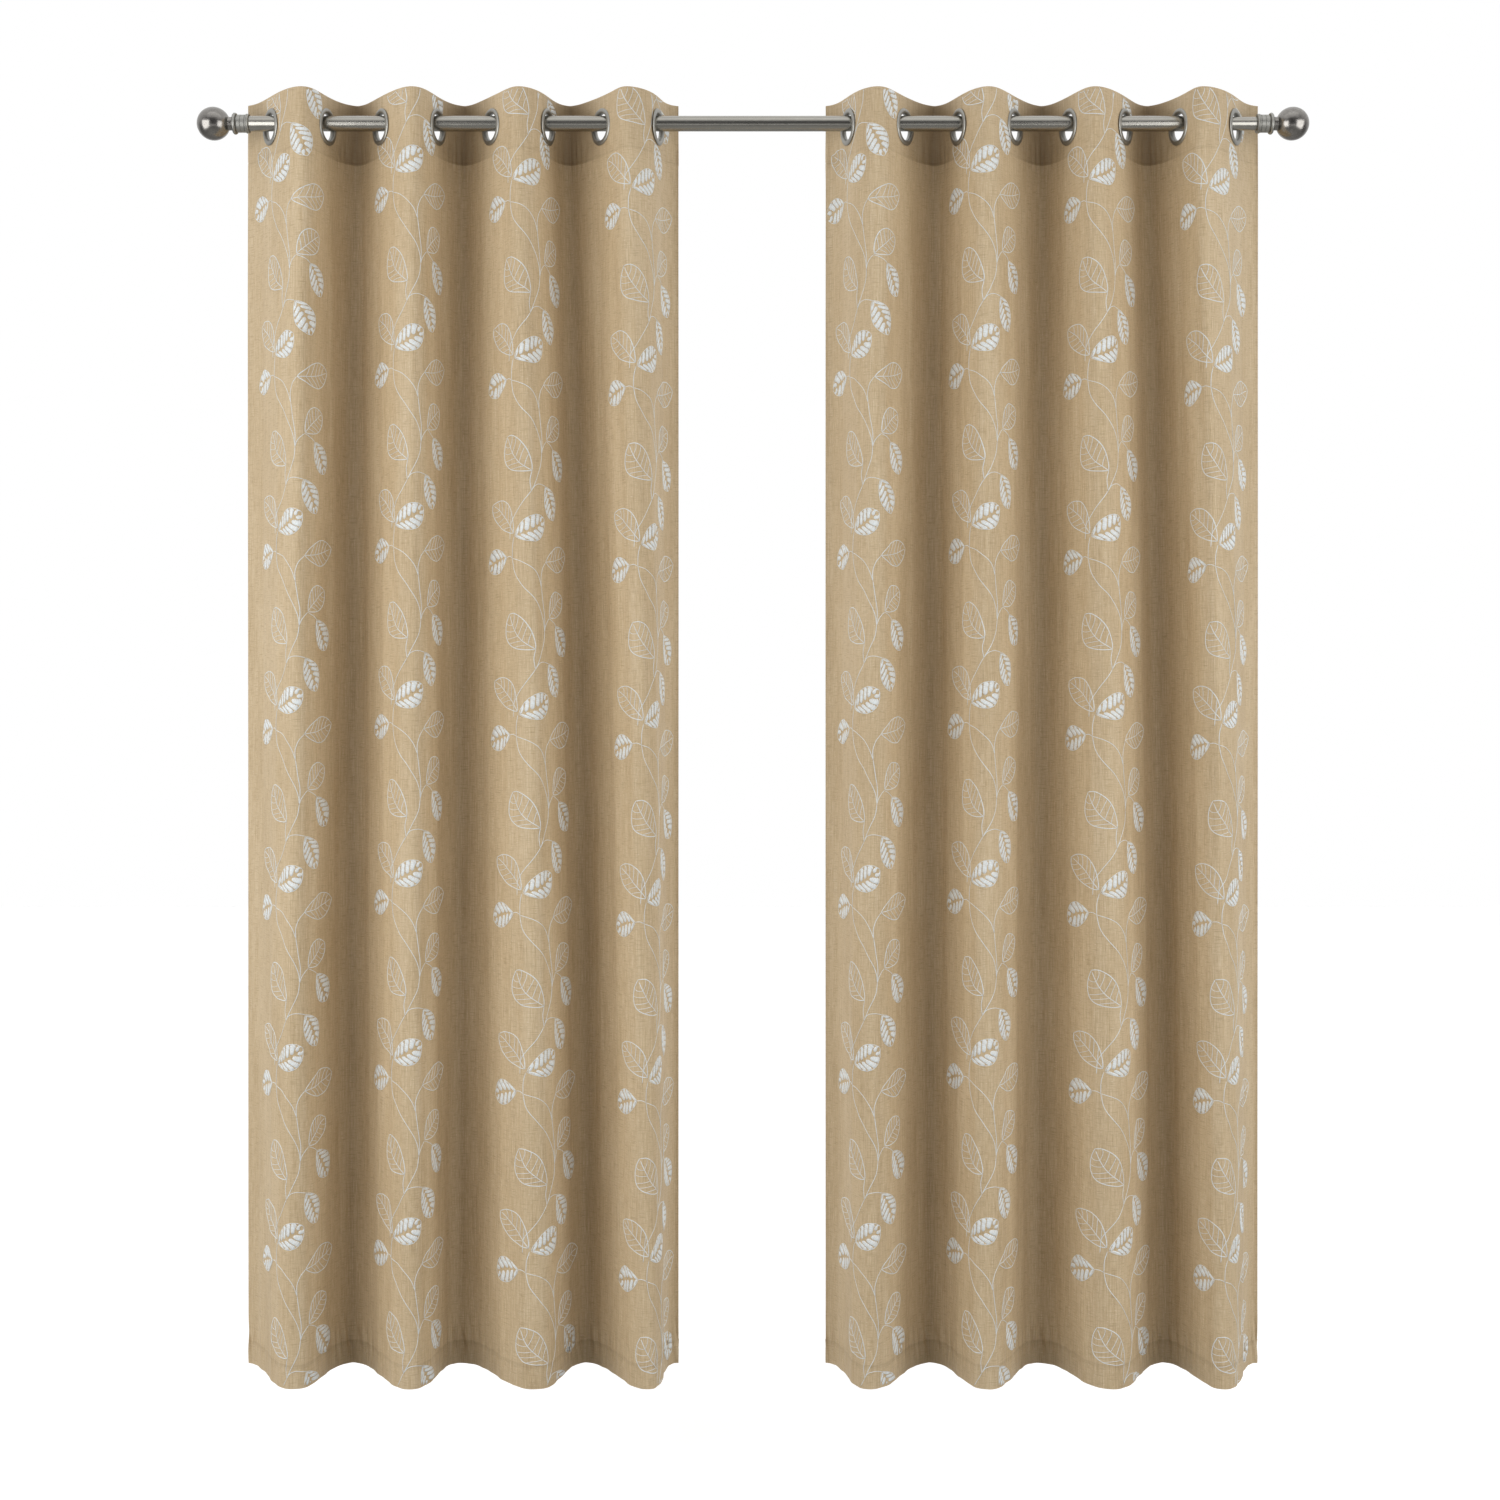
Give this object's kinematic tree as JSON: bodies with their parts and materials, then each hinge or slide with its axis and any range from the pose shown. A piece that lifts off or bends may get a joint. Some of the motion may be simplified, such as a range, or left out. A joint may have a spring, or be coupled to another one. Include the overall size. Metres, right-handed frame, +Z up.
{
  "type": "window curtains on a rod",
  "caption": "Grommet-top linen-look window curtains with embroidered leaf vines, hung in soft folds on a telescoping metal rod with ball finials and wall brackets.",
  "frame": {"origin": "on the wall plane, level with the rod's axis, midway between the two brackets", "axes": "+X along the rod to the right as seen from the room, +Y into the wall, +Z up"},
  "size_m": [1.8546, 0.1766, 2.1346],
  "materials": {
    "linen_cloth": "matte slubby linen-look weave, tan, with white and tan embroidery",
    "heading_tape": "matte stiffened non-woven strip",
    "brushed_nickel": "satin brushed nickel",
    "finial_pewter": "antique pewter, slightly pitted, polished high spots",
    "grommet_pewter": "satin pewter plating",
    "zinc_steel": "bright zinc plating"
  },
  "bodies": {
    "rod": {"outer_tube": "brushed_nickel", "left_bracket_arm": "brushed_nickel", "left_wall_plate": "brushed_nickel", "left_wall_screw_upper": "zinc_steel", "left_wall_screw_lower": "zinc_steel"},
    "rod_extension": {"inner_tube": "brushed_nickel", "right_bracket_arm": "brushed_nickel", "right_wall_plate": "brushed_nickel", "right_wall_screw_upper": "zinc_steel", "right_wall_screw_lower": "zinc_steel"},
    "left_panel": {"left_panel_cloth": "linen_cloth", "left_heading_tape": "heading_tape", "left_grommet_front_1": "grommet_pewter", "left_grommet_back_1": "grommet_pewter"},
    "left_grommet_2": {"left_grommet_front_2": "grommet_pewter", "left_grommet_back_2": "grommet_pewter"},
    "left_grommet_3": {"left_grommet_front_3": "grommet_pewter", "left_grommet_back_3": "grommet_pewter"},
    "left_grommet_4": {"left_grommet_front_4": "grommet_pewter", "left_grommet_back_4": "grommet_pewter"},
    "left_grommet_5": {"left_grommet_front_5": "grommet_pewter", "left_grommet_back_5": "grommet_pewter"},
    "left_grommet_6": {"left_grommet_front_6": "grommet_pewter", "left_grommet_back_6": "grommet_pewter"},
    "left_grommet_7": {"left_grommet_front_7": "grommet_pewter", "left_grommet_back_7": "grommet_pewter"},
    "left_grommet_8": {"left_grommet_front_8": "grommet_pewter", "left_grommet_back_8": "grommet_pewter"},
    "left_finial": {"left_finial_collar": "finial_pewter", "left_finial_ball": "finial_pewter"},
    "left_clamp": {"left_clamp_screw": "zinc_steel"},
    "right_panel": {"right_panel_cloth": "linen_cloth", "right_heading_tape": "heading_tape", "right_grommet_front_1": "grommet_pewter", "right_grommet_back_1": "grommet_pewter"},
    "right_grommet_2": {"right_grommet_front_2": "grommet_pewter", "right_grommet_back_2": "grommet_pewter"},
    "right_grommet_3": {"right_grommet_front_3": "grommet_pewter", "right_grommet_back_3": "grommet_pewter"},
    "right_grommet_4": {"right_grommet_front_4": "grommet_pewter", "right_grommet_back_4": "grommet_pewter"},
    "right_grommet_5": {"right_grommet_front_5": "grommet_pewter", "right_grommet_back_5": "grommet_pewter"},
    "right_grommet_6": {"right_grommet_front_6": "grommet_pewter", "right_grommet_back_6": "grommet_pewter"},
    "right_grommet_7": {"right_grommet_front_7": "grommet_pewter", "right_grommet_back_7": "grommet_pewter"},
    "right_grommet_8": {"right_grommet_front_8": "grommet_pewter", "right_grommet_back_8": "grommet_pewter"},
    "right_finial": {"right_finial_collar": "finial_pewter", "right_finial_ball": "finial_pewter"},
    "right_clamp": {"right_clamp_screw": "zinc_steel"}
  },
  "joints": [
    {"name": "rod_extend", "type": "slide", "parent": "rod", "child": "rod_extension", "axis": [1, 0, 0], "range_m": [0, 1.35]},
    {"name": "left_panel_swing", "type": "hinge", "parent": "rod", "child": "left_panel", "pos_m": [0, -0.089, 0], "axis": [-1, 0, 0], "range_deg": [-0.5, 8]},
    {"name": "left_panel_draw", "type": "slide", "parent": "left_panel", "child": "left_grommet_2", "axis": [-1, 0, 0], "range_m": [-0.0155, 0.045], "deforming": ["left_panel_cloth", "left_heading_tape"]},
    {"name": "left_grommet_3_slide", "type": "slide", "parent": "left_grommet_2", "child": "left_grommet_3", "axis": [-1, 0, 0], "range_m": [-0.0155, 0.045]},
    {"name": "left_grommet_4_slide", "type": "slide", "parent": "left_grommet_3", "child": "left_grommet_4", "axis": [-1, 0, 0], "range_m": [-0.0155, 0.045]},
    {"name": "left_grommet_5_slide", "type": "slide", "parent": "left_grommet_4", "child": "left_grommet_5", "axis": [-1, 0, 0], "range_m": [-0.0155, 0.045]},
    {"name": "left_grommet_6_slide", "type": "slide", "parent": "left_grommet_5", "child": "left_grommet_6", "axis": [-1, 0, 0], "range_m": [-0.0155, 0.045]},
    {"name": "left_grommet_7_slide", "type": "slide", "parent": "left_grommet_6", "child": "left_grommet_7", "axis": [-1, 0, 0], "range_m": [-0.0155, 0.045]},
    {"name": "left_grommet_8_slide", "type": "slide", "parent": "left_grommet_7", "child": "left_grommet_8", "axis": [-1, 0, 0], "range_m": [-0.0155, 0.045]},
    {"name": "left_finial_pull", "type": "slide", "parent": "rod", "child": "left_finial", "axis": [-1, 0, 0], "range_m": [0, 0.04]},
    {"name": "left_clamp_turn", "type": "hinge", "parent": "rod", "child": "left_clamp", "pos_m": [-0.7773, -0.089, -0.025], "axis": [0, 0, 1], "range_deg": [0, 1080]},
    {"name": "right_panel_swing", "type": "hinge", "parent": "rod_extension", "child": "right_panel", "pos_m": [0, -0.089, 0], "axis": [-1, 0, 0], "range_deg": [-0.5, 8]},
    {"name": "right_panel_draw", "type": "slide", "parent": "right_panel", "child": "right_grommet_2", "axis": [1, 0, 0], "range_m": [-0.0155, 0.045], "deforming": ["right_panel_cloth", "right_heading_tape"]},
    {"name": "right_grommet_3_slide", "type": "slide", "parent": "right_grommet_2", "child": "right_grommet_3", "axis": [1, 0, 0], "range_m": [-0.0155, 0.045]},
    {"name": "right_grommet_4_slide", "type": "slide", "parent": "right_grommet_3", "child": "right_grommet_4", "axis": [1, 0, 0], "range_m": [-0.0155, 0.045]},
    {"name": "right_grommet_5_slide", "type": "slide", "parent": "right_grommet_4", "child": "right_grommet_5", "axis": [1, 0, 0], "range_m": [-0.0155, 0.045]},
    {"name": "right_grommet_6_slide", "type": "slide", "parent": "right_grommet_5", "child": "right_grommet_6", "axis": [1, 0, 0], "range_m": [-0.0155, 0.045]},
    {"name": "right_grommet_7_slide", "type": "slide", "parent": "right_grommet_6", "child": "right_grommet_7", "axis": [1, 0, 0], "range_m": [-0.0155, 0.045]},
    {"name": "right_grommet_8_slide", "type": "slide", "parent": "right_grommet_7", "child": "right_grommet_8", "axis": [1, 0, 0], "range_m": [-0.0155, 0.045]},
    {"name": "right_finial_pull", "type": "slide", "parent": "rod_extension", "child": "right_finial", "axis": [1, 0, 0], "range_m": [0, 0.04]},
    {"name": "right_clamp_turn", "type": "hinge", "parent": "rod_extension", "child": "right_clamp", "pos_m": [0.7773, -0.089, -0.025], "axis": [0, 0, 1], "range_deg": [0, 1080]}
  ],
  "couplings": [
    {"joint": "left_grommet_3_slide", "follows": "left_panel_draw", "ratio": 1},
    {"joint": "left_grommet_4_slide", "follows": "left_panel_draw", "ratio": 1},
    {"joint": "left_grommet_5_slide", "follows": "left_panel_draw", "ratio": 1},
    {"joint": "left_grommet_6_slide", "follows": "left_panel_draw", "ratio": 1},
    {"joint": "left_grommet_7_slide", "follows": "left_panel_draw", "ratio": 1},
    {"joint": "left_grommet_8_slide", "follows": "left_panel_draw", "ratio": 1},
    {"joint": "right_grommet_3_slide", "follows": "right_panel_draw", "ratio": 1},
    {"joint": "right_grommet_4_slide", "follows": "right_panel_draw", "ratio": 1},
    {"joint": "right_grommet_5_slide", "follows": "right_panel_draw", "ratio": 1},
    {"joint": "right_grommet_6_slide", "follows": "right_panel_draw", "ratio": 1},
    {"joint": "right_grommet_7_slide", "follows": "right_panel_draw", "ratio": 1},
    {"joint": "right_grommet_8_slide", "follows": "right_panel_draw", "ratio": 1}
  ]
}
